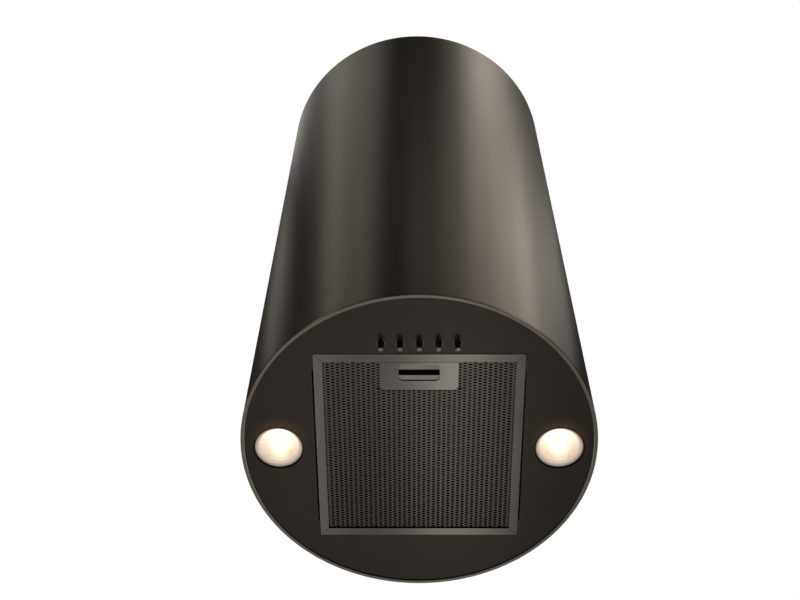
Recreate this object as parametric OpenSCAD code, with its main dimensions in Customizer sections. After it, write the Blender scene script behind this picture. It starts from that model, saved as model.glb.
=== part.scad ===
// Island range hood: a round sleeve hung from the ceiling, with a recessed
// bottom panel, a tilting grease filter, push buttons, two lamps and a
// double-inlet blower with a back-draught damper.
// Origin: middle of the ceiling mounting face. +Z up, -Y is the button side.

/* [Overall] */
// Outer diameter of the sleeve
tube_d = 390; // [380:5:480]
// Height from the ceiling to the lower rim
hood_h = 800; // [740:10:1100]
// Wall of the sleeve
tube_wall = 1; // [0.8:0.1:1.5]

/* [Bottom ring and panel] */
// Width of the ring's visible lower face
ring_w = 4.2; // [3:0.1:8]
// Height of the ring's visible outer edge
ring_edge_h = 2.4; // [2:0.1:5]
// Shadow gap between the ring and the sleeve
ring_gap = 0.6; // [0.4:0.1:2]
// Depth of the panel inside the ring
panel_recess = 1.5; // [1:0.1:2]
// Sheet thickness of the panel
panel_t = 1.2; // [0.8:0.1:1.5]

/* [Filter] */
// Width of the filter across the hood
filter_w = 223.3; // [180:0.1:232]
// Length of the filter from front to back
filter_l = 244; // [190:0.1:250]
// Thickness of the filter
filter_t = 10; // [9:0.5:14]
// Visible width of the frame's face
filter_flange = 9.6; // [7:0.1:14]
// Sheet thickness of the frame
filter_wall = 0.8; // [0.6:0.1:1.2]
// Gap round the filter in its opening
filter_gap = 0.5; // [0.4:0.1:1.5]
// Thickness of the expanded metal face
mesh_t = 0.8; // [0.5:0.1:1.2]

/* [Handle and latch] */
// Width of the handle plate
handle_w = 83; // [70:1:100]
// Length of the handle plate
handle_l = 35; // [33:1:45]
// Width of the window in the plate
window_w = 43.5; // [35:0.5:50]
// Length of the window in the plate
window_l = 20.2; // [18:0.1:22]
// Width of the finger slot, front to back
finger_slot = 6.9; // [6:0.1:8]
// Reach of the latch tongue past the opening's edge
tongue_reach = 2.5; // [1.5:0.1:3]
// Travel of the latch
latch_travel = 5; // [4:0.5:5]

/* [Buttons] */
// Number of push buttons
button_n = 5; // [5:1:5]
// Distance between buttons
button_pitch = 20; // [16:1:22]
// Diameter of a button
button_d = 6; // [5:0.5:9]
// How far a button stands out of the panel
button_out = 13; // [8:0.5:16]
// Travel of a button
button_travel = 3; // [2:0.5:4]

/* [Lamps] */
// Outer diameter of the lamp ring
lamp_d = 52; // [51:1:58]
// Diameter of the visible glass
glass_d = 46; // [36:1:47]

/* [Blower] */
// Outer diameter of the blower wheel
wheel_d = 140; // [115:1:170]
// Width of the blower wheel
wheel_w = 92; // [76:1:110]
// Number of blades
blade_n = 36; // [24:1:48]
// Diameter of the motor shaft
shaft_d = 8; // [6:1:10]
// Diameter of the motor
motor_d = 80; // [66:1:82]
// Height of the shaft above the lower rim
shaft_up = 243; // [215:1:300]

/* [Air outlet] */
// Outer diameter of the duct collar
duct_d = 150; // [125:1:160]
// Height of the duct collar
collar_h = 90; // [80:1:120]

/* [Frame] */
// Leg length of the corner posts
post_leg = 25; // [20:1:28]
// Sheet thickness of the corner posts
post_t = 2; // [1.5:0.5:3]
// Spacing of the ceiling bolts across the hood
bolt_x = 232; // [200:1:240]
// Spacing of the ceiling bolts from front to back
bolt_y = 120; // [80:1:150]
// Diameter of the ceiling bolt holes
bolt_hole_d = 9; // [6:0.5:10]

/* [Hidden] */
$fn = 96;

// Clearances
sliding = 0.3;          // between pieces that pass each other
screw_clear = 0.1;      // round a screw or stud
shaft_clear = 0.05;     // shaft in a bearing
pin_clear = 0.08;       // pin in a knuckle
press_fit = 0.02;       // round a pressed or threaded piece
cut = 1;                // overshoot of a cutting shape

// Levels
rim_z = -hood_h;
panel_z = rim_z + panel_recess;
panel_top = panel_z + panel_t;
ring_shoulder = rim_z + ring_edge_h;
tube_z = ring_shoulder + ring_gap;
tube_top = -4;
filter_z = panel_z - 0.7;
filter_top = filter_z + filter_t;

// Radii
tube_r = tube_d / 2;
tube_in = tube_r - tube_wall;
ring_wall = 0.8;
upstand_r = tube_in - sliding;
upstand_h = 18;
panel_r = upstand_r - ring_wall - sliding;

// Corner posts and ceiling plate
post_inset = 7;
post_c = (tube_in - post_inset) / sqrt(2);
foot_t = 2;
foot_hole = post_c - 10;
frame_screw_r = 2.5;
screw_head_r = 4.5;
screw_head_h = 3;
plate_t = 3;
plate_opening = 200;
base_h = 44;
base_t = 1.5;
post_z0 = panel_top + base_h;
post_z1 = -plate_t;

// Filter opening and the skirt above it
open_w = filter_w + 2 * filter_gap;
open_l = filter_l + 2 * filter_gap;
notch_w = 1.4;
notch_end = 20.5;
skirt_off = 3.3;
skirt_t = 1.2;
skirt_x = open_w / 2 + skirt_off;
skirt_y = open_l / 2 + skirt_off;

// Studs that hold the panel
stud_r = 2;
stud_l = 10;
nut_r = 4;
nut_h = 3.2;
tab_t = 1.2;
side_tab_w = 10;
side_tab_l = 30;
side_tab_y = 80;
side_stud_x = skirt_x + skirt_t + side_tab_w / 2;
tube_tab_r = panel_r - 12.6;
tab_toe = 4.6;
tab_heel = 6;
tab_weld = 18;
tube_tab_angle = 5;
stud_places = concat(
    [for (sx = [-1, 1], sy = [-1, 1]) [sx * side_stud_x, sy * side_tab_y]],
    [for (a = [45:90:315]) [tube_tab_r * cos(a), tube_tab_r * sin(a)]]
);

// Side air outlets near the top of the sleeve
vent_n = 6;
vent_h = 6;
vent_pitch = 12;
vent_first = 12;
vent_half_angle = 20;
vent_narrowing = 1.3;

// Latch
handle_y = -filter_l / 2 + filter_flange + 0.1;
handle_t = 1;
window_y = handle_y + 3.3;
slot_y = window_y + 6.7;
cup_wall = 1.2;
cup_top = filter_top - 0.4;
slider_z = filter_z + handle_t + 0.2;
slider_t = 2;
slider_w = window_w + 9.5;
slider_y = handle_y + cup_wall + 0.6;
slider_l = handle_l - 2 * cup_wall - 1.2 - latch_travel;
tongue_w = 24;
tongue_z = panel_top + 0.5;
tongue_t = 1.6;
tongue_tip = -open_l / 2 - tongue_reach;
slot_gap = 0.4;
plate_gap = 0.3;
layer_gap = 0.3;
ear_w = (handle_w - slider_w) / 2 - cup_wall - 1;
ear_l = 2.5;
ear_x = (slider_w + ear_w) / 2 - 0.5;
spring_turns = 7;
spring_wire_r = 0.35;
spring_r = 1.6;
lug_x = 70;
lug_w = 20;

// Buttons and switch
button_y = -(filter_l / 2 + 13.5);
button_z = panel_z - button_out;
button_gap = 1;
bezel_in = button_d / 2 + button_gap;
bezel_flange = 0.9;
bezel_sleeve = 0.4;
bezel_t = 0.5;
bezel_up = 1;
panel_hole_r = bezel_in + bezel_sleeve + screw_clear;
switch_z1 = panel_top + 32;
switch_bore_top = panel_top + 26;
stem_top = switch_bore_top - button_travel - 1.5;
switch_y0 = button_y - 10.5;
switch_y1 = button_y + 8;
switch_w = button_pitch * (button_n - 1) + 30;
terminal_n = button_n + 1;

// Lamps
lamp_r = lamp_d / 2;
lamp_gap = 2;
lamp_hole_r = lamp_r + lamp_gap;
lamp_x = tube_r - lamp_r - 15.5;
lamp_z = panel_z + 1;
lip_t = 0.9;
lip_rise = 2.5;
glass_z = lamp_z + lip_rise + lip_t;
glass_t = 1.5;
glass_r = glass_d / 2 + 1.6;
lamp_flange = 5;
reflector_t = 0.8;
reflector_h = 30;
reflector_neck = 9;
socket_r = 12;
socket_h = 20;

// Blower
wheel_r = wheel_d / 2;
blade_depth = 12;
wheel_in = wheel_r - blade_depth;
wheel_disc_t = 2;
wheel_disc_y = -6;
end_ring_t = 1.5;
side_gap = 6;
scroll_w = wheel_w + 2 * side_gap;
sheet = 1;
cutoff_gap = 6;
tongue_x = 15;
outlet_w = 100;
outlet_h = 130;
spiral_r0 = wheel_r + cutoff_gap;
spiral_r1 = tongue_x + outlet_w;
shaft_x = -(tongue_x + outlet_w / 2);
shaft_z = rim_z + shaft_up;
shaft_r = shaft_d / 2;
inlet_r = wheel_in - 2;
inlet_hole_r = inlet_r + 4;
inlet_flange_r = inlet_r + 10;

// Motor
motor_r = motor_d / 2;
motor_y0 = 2;
motor_l = 56;
motor_wall = 2;
cap_t = 3;
cap_vent_r = 4;
cap_vent_at = 26;
bearing_r = 11;
bearing_seat = 3;
bearing_w = 7;
rotor_r = 24;
air_gap = 0.5;
core_y0 = motor_y0 + 14;
core_l = 30;
shaft_y0 = -20;
shaft_y1 = motor_y0 + motor_l + cap_t + 3;
arm_t = 2;
arm_w = 12;
mount_r = 6;
mount_ring_r = inlet_flange_r + mount_r + 1;
arm_angles = [30, 150, 270];

// Tray and outlet collar
tray_z = shaft_z + outlet_h;
tray_t = 1.5;
tray_flange = 15;
tray_half = post_c - post_t;
tray_screw_x = post_c - post_leg / 2 - 2;
tray_screw_z = tray_z - tray_flange / 2;
tray_screw_r = 2;
collar_r = duct_d / 2;
collar_wall = 1.2;
collar_in = collar_r - collar_wall;
collar_flange_r = collar_r + 7;
collar_z = tray_z + tray_t;
pin_r = 1.5;
pin_z = collar_z + 14;
flap_t = 1;
flap_r = collar_in - 1.2;
knuckle_r = 2.6;
knuckle_n = 6;
ledge_w = 3;
ledge_t = 1.5;
pin_short = 0.4;

// Terminal box
box_w = 90;
box_l = 28;
box_h = 70;
box_wall = 2;
box_y = -(collar_flange_r + 1.5 + box_l);
gland_y = box_y + box_l - 11;
gland_r = 8;
gland_bore_r = 4;
gland_h = 16;
gland_nut_h = 5;
gland_thread_r = gland_r - 1.5;
gland_thread_l = 6;

// A cylinder along +Y that starts at the given y
module rod_y(r, y, l) {
    translate([0, y, 0]) rotate([-90, 0, 0]) cylinder(r = r, h = l);
}

// A flat ring that starts at the given z
module ring(r_out, r_in, z, h) {
    translate([0, 0, z]) difference() {
        cylinder(r = r_out, h = h);
        translate([0, 0, -cut]) cylinder(r = r_in, h = h + 2 * cut);
    }
}

// A block centred on X and Y that starts at the given z
module block(w, l, z, h) {
    translate([-w / 2, -l / 2, z]) cube([w, l, h]);
}

// A plate outline with two rounded rear corners
module rounded_rear(w, l, r) {
    translate([-w / 2, 0]) square([w, l - r]);
    translate([-w / 2 + r, 0]) square([w - 2 * r, l]);
    for (s = [-1, 1]) translate([s * (w / 2 - r), l - r]) circle(r = r);
}

// A rounded rectangle outline that starts at y = 0
module rounded_rect(w, l, r) {
    translate([-w / 2 + r, 0]) square([w - 2 * r, l]);
    translate([-w / 2, r]) square([w, l - 2 * r]);
    for (s = [-1, 1], y = [r, l - r]) translate([s * (w / 2 - r), y]) circle(r = r);
}

// A coil spring along +Y from y = 0
module coil_y(coil_r, wire_r, l, turns) {
    sides = 6;
    steps = 12 * turns;
    rings = [for (i = [0:steps]) let (a = i * 30, y = wire_r + (l - 2 * wire_r) * i / steps)
        [for (k = [0:sides - 1]) let (b = k * 360 / sides, d = coil_r + wire_r * cos(b))
            [d * cos(a), y + wire_r * sin(b), d * sin(a)]]];
    skin = [for (i = [0:steps - 1], k = [0:sides - 1])
        let (n = (k + 1) % sides, a = i * sides, b = a + sides)
        each [[a + k, a + n, b + n], [a + k, b + n, b + k]]];
    first = [for (k = [sides - 1:-1:0]) k];
    last = [for (k = [0:sides - 1]) steps * sides + k];
    polyhedron([for (one = rings) each one], concat([first], skin, [last]), convexity = 8);
}

// ---- Sleeve, ring and panel ----

// One air outlet slot with round ends, cut through the wall at +X
module vent_slot(row) {
    half = tube_r * sin(vent_half_angle - vent_narrowing * row) - vent_h / 2;
    depth = tube_r / 2;
    translate([tube_r - depth, 0, tube_top - vent_first - row * vent_pitch]) {
        translate([0, -half, -vent_h / 2]) cube([2 * depth, 2 * half, vent_h]);
        for (s = [-1, 1]) translate([0, s * half, 0]) rotate([0, 90, 0]) cylinder(d = vent_h, h = 2 * depth);
    }
}

module tube() {
    color("#4a443e") difference() {
        ring(tube_r, tube_in, tube_z, tube_top - tube_z);
        for (side = [0, 180], row = [0:vent_n - 1]) rotate([0, 0, side]) vent_slot(row);
    }
}

// Z-shaped straps: welded inside the sleeve, their feet stand on the panel
module tube_tabs() {
    foot_in = tube_tab_r - tab_toe;
    knee = tube_tab_r + tab_heel;
    step_z = rim_z + upstand_h + 2;
    strap = [
        [foot_in, panel_top], [knee, panel_top], [knee, step_z], [tube_in, step_z],
        [tube_in, step_z + tab_weld], [tube_in - tab_t, step_z + tab_weld], [tube_in - tab_t, step_z + tab_t],
        [knee - tab_t, step_z + tab_t], [knee - tab_t, panel_top + tab_t],
        [foot_in, panel_top + tab_t]
    ];
    color("#8a8a88") for (a = [45:90:315]) difference() {
        rotate([0, 0, a - tube_tab_angle / 2]) rotate_extrude(angle = tube_tab_angle) polygon(strap);
        translate([tube_tab_r * cos(a), tube_tab_r * sin(a), panel_top - cut])
            cylinder(r = stud_r + screw_clear, h = tab_t + 2 * cut);
    }
}

// Edge ring: a lip under the panel, a shoulder under the sleeve, an upstand inside it
module bottom_ring() {
    edge_r = 0.9;
    lip_edge = 0.3;
    lip_in = tube_r - ring_w;
    profile = concat(
        [[lip_in, rim_z + lip_edge], [lip_in + lip_edge, rim_z]],
        [for (a = [-90:15:0]) [tube_r - edge_r + edge_r * cos(a), rim_z + edge_r + edge_r * sin(a)]],
        [[tube_r, ring_shoulder], [upstand_r, ring_shoulder], [upstand_r, rim_z + upstand_h],
         [upstand_r - ring_wall, rim_z + upstand_h], [upstand_r - ring_wall, panel_z],
         [lip_in, panel_z]]
    );
    color("#6b645d") rotate_extrude() polygon(profile);
}

module button_places() {
    for (i = [0:button_n - 1]) translate([(i - (button_n - 1) / 2) * button_pitch, button_y, 0]) children();
}

module bottom_panel() {
    notch_l = filter_l - 2 * notch_end;
    color("#332d28") difference() {
        translate([0, 0, panel_z]) cylinder(r = panel_r, h = panel_t);
        block(open_w, open_l, panel_z - cut, panel_t + 2 * cut);
        block(open_w + 2 * notch_w, notch_l, panel_z - cut, panel_t + 2 * cut);
        for (s = [-1, 1]) translate([s * lamp_x, 0, panel_z - cut])
            cylinder(r = lamp_hole_r, h = panel_t + 2 * cut);
        button_places() translate([0, 0, panel_z - cut]) cylinder(r = panel_hole_r, h = panel_t + 2 * cut);
    }
}

module panel_studs() {
    color("silver") for (p = stud_places) translate([p[0], p[1], panel_top])
        cylinder(r = stud_r, h = stud_l);
}

module panel_nuts() {
    color("silver") for (p = stud_places) translate([p[0], p[1], panel_top + tab_t]) difference() {
        cylinder(r = nut_r, h = nut_h, $fn = 6);
        translate([0, 0, -cut]) cylinder(r = stud_r + press_fit, h = nut_h + 2 * cut);
    }
}

// ---- Carrying frame ----

// Skirt round the filter opening, with side tabs on the panel and a top flange under the posts
module base_frame() {
    flange_z = panel_top + base_h - base_t;
    color("#9a9a98") difference() {
        union() {
            block(2 * (skirt_x + skirt_t), 2 * (skirt_y + skirt_t), panel_top, base_h);
            block(2 * post_c, 2 * post_c, flange_z, base_t);
            for (s = [-1, 1]) translate([0, s * side_tab_y, 0])
                block(2 * (skirt_x + skirt_t + side_tab_w), side_tab_l, panel_top, tab_t);
        }
        block(2 * skirt_x, 2 * skirt_y, panel_top - cut, base_h + 2 * cut);
        translate([0, -skirt_y, 0]) block(tongue_w + 8, 10, panel_top - cut, 5 + cut);
        for (sx = [-1, 1], sy = [-1, 1]) {
            translate([sx * side_stud_x, sy * side_tab_y, panel_top - cut])
                cylinder(r = stud_r + screw_clear, h = tab_t + 2 * cut);
            translate([sx * foot_hole, sy * foot_hole, flange_z - cut])
                cylinder(r = frame_screw_r + screw_clear, h = base_t + 2 * cut);
        }
    }
}

// Angle post with a foot at each end and a hole for the tray screw
module post(sx, sy) {
    h = post_z1 - post_z0;
    color("#a0a09e") mirror([sx < 0 ? 1 : 0, 0, 0]) mirror([0, sy < 0 ? 1 : 0, 0]) difference() {
        union() {
            translate([post_c - post_leg, post_c - post_t, post_z0]) cube([post_leg, post_t, h]);
            translate([post_c - post_t, post_c - post_leg, post_z0]) cube([post_t, post_leg, h]);
            for (z = [post_z0, post_z1 - foot_t]) translate([post_c - post_leg, post_c - post_leg, z])
                cube([post_leg, post_leg, foot_t]);
        }
        for (z = [post_z0, post_z1 - foot_t]) translate([foot_hole, foot_hole, z - cut])
            cylinder(r = frame_screw_r + screw_clear, h = foot_t + 2 * cut);
        translate([tray_screw_x, 0, tray_screw_z])
            rod_y(tray_screw_r + screw_clear, post_c - post_t - cut, post_t + 2 * cut);
    }
}

module post_front_left() { post(-1, -1); }
module post_front_right() { post(1, -1); }
module post_rear_left() { post(-1, 1); }
module post_rear_right() { post(1, 1); }

module ceiling_plate() {
    color("#a8a8a5") difference() {
        block(2 * post_c, 2 * post_c, -plate_t, plate_t);
        block(plate_opening, plate_opening, -plate_t - cut, plate_t + 2 * cut);
        for (sx = [-1, 1], sy = [-1, 1]) {
            translate([sx * bolt_x / 2, sy * bolt_y / 2, -plate_t - cut])
                cylinder(d = bolt_hole_d, h = plate_t + 2 * cut);
            translate([sx * foot_hole, sy * foot_hole, -plate_t - cut])
                cylinder(r = frame_screw_r + press_fit, h = plate_t + 2 * cut);
        }
    }
}

// Screws that join the posts to the ceiling plate, to the base frame and to the tray
module frame_screws() {
    shank = foot_t + base_t + 4;
    color("silver") for (sx = [-1, 1], sy = [-1, 1]) {
        translate([sx * foot_hole, sy * foot_hole, post_z1 - foot_t - screw_head_h]) {
            cylinder(r = screw_head_r, h = screw_head_h);
            cylinder(r = frame_screw_r, h = screw_head_h + foot_t + plate_t - 0.2);
        }
        translate([sx * foot_hole, sy * foot_hole, post_z0 + foot_t]) {
            cylinder(r = screw_head_r, h = screw_head_h);
            translate([0, 0, -shank]) cylinder(r = frame_screw_r, h = shank);
        }
        mirror([0, sy < 0 ? 1 : 0, 0]) translate([sx * tray_screw_x, 0, tray_screw_z]) {
            rod_y(4, post_c, 2.5);
            rod_y(tray_screw_r, post_c - 8, 8);
        }
    }
}

module blower_tray() {
    color("#b4b4b0") difference() {
        union() {
            block(2 * tray_half, 2 * tray_half, tray_z, tray_t);
            for (s = [-1, 1]) translate([0, s * (tray_half - tray_t / 2), 0])
                block(2 * tray_half, tray_t, tray_z - tray_flange, tray_flange + tray_t);
        }
        translate([0, 0, tray_z - cut]) cylinder(r = collar_in, h = tray_t + 2 * cut);
        for (sx = [-1, 1], s = [-1, 1]) mirror([0, s < 0 ? 1 : 0, 0])
            translate([sx * tray_screw_x, 0, tray_screw_z])
            rod_y(tray_screw_r + press_fit, tray_half - tray_t - cut, tray_t + 2 * cut);
    }
}

// ---- Blower ----

// Outline of the spiral casing, grown outwards by the given sheet thickness
function scroll_outline(grow) =
    let (left = tongue_x - grow, a0 = acos(left / (spiral_r0 + grow)), steps = 30)
    concat(
        [[left, outlet_h]],
        [for (i = [0:steps]) let (a = a0 + (360 - a0) * i / steps,
            r = spiral_r0 + (spiral_r1 - spiral_r0) * i / steps + grow) [r * cos(a), r * sin(a)]],
        [[spiral_r1 + grow, outlet_h]]
    );

// Places a shape drawn in the X-Z plane on the shaft, standing from y0 for w
module on_shaft(y0, w) {
    translate([shaft_x, y0 + w, shaft_z]) rotate([90, 0, 0]) linear_extrude(w) children();
}

module scroll_wrapper() {
    color("#c2c2be") on_shaft(-scroll_w / 2, scroll_w) difference() {
        polygon(scroll_outline(sheet));
        polygon(concat(
            [[tongue_x, outlet_h + cut]], scroll_outline(0), [[spiral_r1, outlet_h + cut]]));
    }
}

module scroll_side(y0) {
    color("#b8b8b4") on_shaft(y0, sheet) difference() {
        polygon(scroll_outline(sheet));
        circle(r = inlet_hole_r);
    }
}

module scroll_side_front() { scroll_side(-scroll_w / 2 - sheet); }
module scroll_side_rear() { scroll_side(scroll_w / 2); }

// Bell mouth that leads the air into the wheel
module inlet_ring() {
    face = scroll_w / 2 + sheet;
    bell = inlet_hole_r - inlet_r - 0.5;
    inner = [for (a = [90:-15:0]) [inlet_r + bell - bell * sin(a) , face + sheet - bell + bell * cos(a)]];
    neck_y = scroll_w / 2 - side_gap - 2;
    profile = concat(
        [[inlet_r + 1, neck_y], [inlet_r, neck_y]], inner,
        [[inlet_flange_r, face + sheet], [inlet_flange_r, face], [inlet_hole_r - 0.2, face],
         [inlet_r + 1, face - 4]]
    );
    color("#d0d0cc") translate([shaft_x, 0, shaft_z]) rotate([-90, 0, 0]) rotate_extrude() polygon(profile);
}

module inlet_ring_front() { mirror([0, 1, 0]) inlet_ring(); }
module inlet_ring_rear() { inlet_ring(); }

// One forward-curved blade in the X-Z plane
module blade() {
    lean = 10;
    thick = 0.75;
    edge = [for (i = [0:5]) [wheel_in + (blade_depth - 1) * i / 5, lean * pow(i / 5, 2)]];
    polygon(concat(
        [for (p = edge) [p[0] * cos(p[1]), p[0] * sin(p[1])]],
        [for (i = [5:-1:0]) let (p = edge[i]) [p[0] * cos(p[1] + thick), p[0] * sin(p[1] + thick)]]
    ));
}

// Double-inlet wheel: back disc and boss, blades, end rings
module blower_wheel() {
    color("#8f9396") {
        difference() {
            union() {
                on_shaft(wheel_disc_y, wheel_disc_t) circle(r = wheel_r);
                on_shaft(wheel_disc_y - 12, 13) circle(r = 10);
                on_shaft(-wheel_w / 2 + 0.5, wheel_w - 1) for (i = [0:blade_n - 1])
                    rotate(i * 360 / blade_n) blade();
                for (y = [-wheel_w / 2, wheel_w / 2 - end_ring_t]) on_shaft(y, end_ring_t) difference() {
                    circle(r = wheel_r);
                    circle(r = wheel_in + 1);
                }
            }
            on_shaft(wheel_disc_y - 20, 30) circle(r = shaft_r + press_fit);
        }
    }
}

module motor_shaft() {
    color("#d8d8d8") on_shaft(shaft_y0, shaft_y1 - shaft_y0) circle(r = shaft_r);
}

module rotor_core() {
    color("#707478") on_shaft(core_y0, core_l) difference() {
        circle(r = rotor_r);
        circle(r = shaft_r + press_fit);
    }
}

// Six round air holes about the shaft
module cap_vents() {
    for (a = [0:60:300]) rotate(a) translate([cap_vent_at, 0]) circle(r = cap_vent_r);
}

// Motor can with its front bearing seat, open at the back
module motor_housing() {
    color("#5d6063") difference() {
        on_shaft(motor_y0, motor_l) circle(r = motor_r);
        difference() {
            on_shaft(motor_y0 + motor_wall, motor_l) circle(r = motor_r - motor_wall);
            on_shaft(motor_y0 + motor_wall, bearing_w) circle(r = bearing_r + bearing_seat);
        }
        on_shaft(motor_y0 + motor_wall, bearing_w + cut) circle(r = bearing_r);
        on_shaft(motor_y0 - cut, motor_wall + 2 * cut) circle(r = shaft_r + 1);
        on_shaft(motor_y0 - cut, motor_wall + 2 * cut) cap_vents();
    }
}

module motor_end_cap() {
    cap_y = motor_y0 + motor_l;
    color("#6b6e71") difference() {
        union() {
            on_shaft(cap_y, cap_t) circle(r = motor_r);
            on_shaft(cap_y - bearing_w, bearing_w) circle(r = bearing_r + bearing_seat);
        }
        on_shaft(cap_y - bearing_w - cut, bearing_w + cut) circle(r = bearing_r);
        on_shaft(cap_y - cut, cap_t + 2 * cut) circle(r = shaft_r + 1);
        on_shaft(cap_y - cut, cap_t + 2 * cut) cap_vents();
    }
}

// Slotted stator ring with its winding blocks between the teeth
module stator() {
    color("#a5623a") on_shaft(core_y0, core_l) difference() {
        circle(r = motor_r - motor_wall - 0.2);
        circle(r = rotor_r + air_gap);
        for (a = [0:30:330]) rotate(a) translate([rotor_r - 1, -1]) square([4, 2]);
    }
}

module motor_bearings() {
    color("#cfd2d4") for (y = [motor_y0 + motor_wall, motor_y0 + motor_l - bearing_w])
        on_shaft(y, bearing_w) difference() {
            circle(r = bearing_r);
            circle(r = shaft_r + shaft_clear);
        }
}

// Three arms that carry the motor in front of the rear inlet
module motor_bracket() {
    y = motor_y0 + motor_l + cap_t;
    color("#94979a") on_shaft(y, arm_t) difference() {
        union() {
            circle(r = 30);
            for (a = arm_angles) rotate(a) {
                translate([0, -arm_w / 2]) square([mount_ring_r, arm_w]);
                translate([mount_ring_r, 0]) circle(r = arm_w / 2 + 1);
            }
        }
        circle(r = bearing_r + 2);
    }
}

// Rubber feet between the bracket and the casing
module motor_mounts() {
    y0 = scroll_w / 2 + sheet;
    y1 = motor_y0 + motor_l + cap_t;
    color("#1d1d1d") for (a = arm_angles) on_shaft(y0, y1 - y0)
        rotate(a) translate([mount_ring_r, 0]) circle(r = mount_r - 0.5);
}

// Capacitor can with its stud on top and its saddle against the casing
module capacitor() {
    r = 15;
    h = 52;
    stud = [5, 6];
    saddle = [12, 2, 14];
    place = [65, 62];
    saddle_z = 18;
    y = -(scroll_w / 2 + sheet + r + saddle[1] / 2);
    color("#e4e4e0") translate([shaft_x + tongue_x + place[0], y, shaft_z + place[1]]) {
        cylinder(r = r, h = h);
        translate([0, 0, h]) cylinder(r = stud[0], h = stud[1]);
        translate([-saddle[0] / 2, r - saddle[1] / 2, saddle_z]) cube(saddle);
    }
}

// ---- Outlet and damper ----

module outlet_collar() {
    color("#d6d6d2") difference() {
        union() {
            ring(collar_flange_r, collar_in, collar_z, tray_t);
            ring(collar_r, collar_in, collar_z, collar_h);
            ring(collar_in + 0.1, collar_in - ledge_w, pin_z - flap_t / 2 - sliding - ledge_t, ledge_t);
        }
        translate([0, 0, pin_z]) rod_y(pin_r + press_fit, -collar_r - cut, duct_d + 2 * cut);
    }
}

module flap_pin() {
    color("#dcdcdc") translate([0, 0, pin_z]) rod_y(pin_r, -collar_r + pin_short, duct_d - 2 * pin_short);
}

// Half-round flap with every second knuckle round the pin
module flap(first) {
    end = 4;
    gap = 0.4;
    shelf = 1.5;
    hub_gap = 0.5;
    pitch = 2 * (flap_r - end) / knuckle_n;
    knuckle_l = pitch - 2 * gap;
    difference() {
        union() {
            translate([0, 0, pin_z - flap_t / 2]) intersection() {
                cylinder(r = flap_r, h = flap_t);
                translate([-2 * flap_r - knuckle_r - hub_gap, -flap_r, 0])
                    cube([2 * flap_r, 2 * flap_r, flap_t]);
            }
            for (i = [first:2:knuckle_n - 1]) translate([0, -flap_r + end + i * pitch + gap, pin_z]) {
                rod_y(knuckle_r, 0, knuckle_l);
                translate([-knuckle_r - shelf, 0, -flap_t / 2]) cube([knuckle_r + shelf, knuckle_l, flap_t]);
            }
        }
        translate([0, 0, pin_z]) rod_y(pin_r + pin_clear, -collar_r, duct_d);
    }
}

module flap_left() { color("#c9cdd0") flap(0); }
module flap_right() { color("#c0c4c8") mirror([1, 0, 0]) flap(1); }

// ---- Electrics ----

module terminal_box() {
    color("#2a2a2a") difference() {
        translate([-box_w / 2, box_y, collar_z]) cube([box_w, box_l, box_h]);
        translate([-box_w / 2 + box_wall, box_y - cut, collar_z + box_wall])
            cube([box_w - 2 * box_wall, box_l - box_wall + cut, box_h - 2 * box_wall]);
        translate([0, gland_y, collar_z + box_h - box_wall - cut])
            cylinder(r = gland_thread_r + screw_clear, h = box_wall + 2 * cut);
    }
}

module terminal_box_lid() {
    color("#343434") {
        translate([-box_w / 2, box_y - box_wall, collar_z]) cube([box_w, box_wall, box_h]);
        translate([-box_w / 2 + box_wall + sliding, box_y, collar_z + box_wall + sliding])
            cube([box_w - 2 * (box_wall + sliding), 3, box_wall]);
    }
}

// Cable entry on the box: sleeve through the wall, hexagon and dome nut
module cable_gland() {
    z = collar_z + box_h;
    z0 = z - box_wall - gland_thread_l;
    z1 = z + gland_h - 0.5;
    color("#4a4a4a") translate([0, gland_y, 0]) difference() {
        union() {
            translate([0, 0, z]) cylinder(r = gland_r, h = gland_nut_h, $fn = 6);
            translate([0, 0, z0]) cylinder(r = gland_thread_r, h = z1 - z0);
        }
        translate([0, 0, z0 - cut]) cylinder(r = gland_bore_r, h = z1 - z0 + 2 * cut);
    }
}

// Switch body with one bore per button and a row of blade terminals on top
module switch_block() {
    blade_w = 6;
    blade_t = 0.8;
    blade_l = 8;
    bore_l = switch_bore_top - panel_top;
    color("#1b1b1b") difference() {
        union() {
            translate([-switch_w / 2, switch_y0, panel_top])
                cube([switch_w, switch_y1 - switch_y0, switch_z1 - panel_top]);
            for (i = [0:terminal_n - 1])
                translate([-switch_w / 2 + switch_w * (i + 0.5) / terminal_n, button_y, 0])
                block(blade_w, blade_t, switch_z1 - cut, blade_l + cut);
        }
        button_places() translate([0, 0, panel_top - cut]) {
            cylinder(r = button_d / 2 + sliding, h = bore_l + cut);
            cylinder(r = panel_hole_r + sliding, h = bezel_up + sliding + cut);
        }
    }
}

module button_bezels() {
    color("#9c958c") button_places() {
        ring(bezel_in + bezel_flange, bezel_in, panel_z - bezel_t, bezel_t);
        ring(bezel_in + bezel_sleeve, bezel_in, panel_z - bezel_t / 2, bezel_t / 2 + panel_t + bezel_up);
    }
}

// Push button: round stem with a bevelled end
module button(i) {
    bevel = 1.2;
    r = button_d / 2;
    profile = [[0, button_z], [r - bevel, button_z], [r, button_z + bevel], [r, stem_top], [0, stem_top]];
    color("#8b857d") translate([(i - (button_n + 1) / 2) * button_pitch, button_y, 0])
        rotate_extrude() polygon(profile);
}

module button_1() { button(1); }
module button_2() { button(2); }
module button_3() { button(3); }
module button_4() { button(4); }
module button_5() { button(5); }

// ---- Lamps ----

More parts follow.
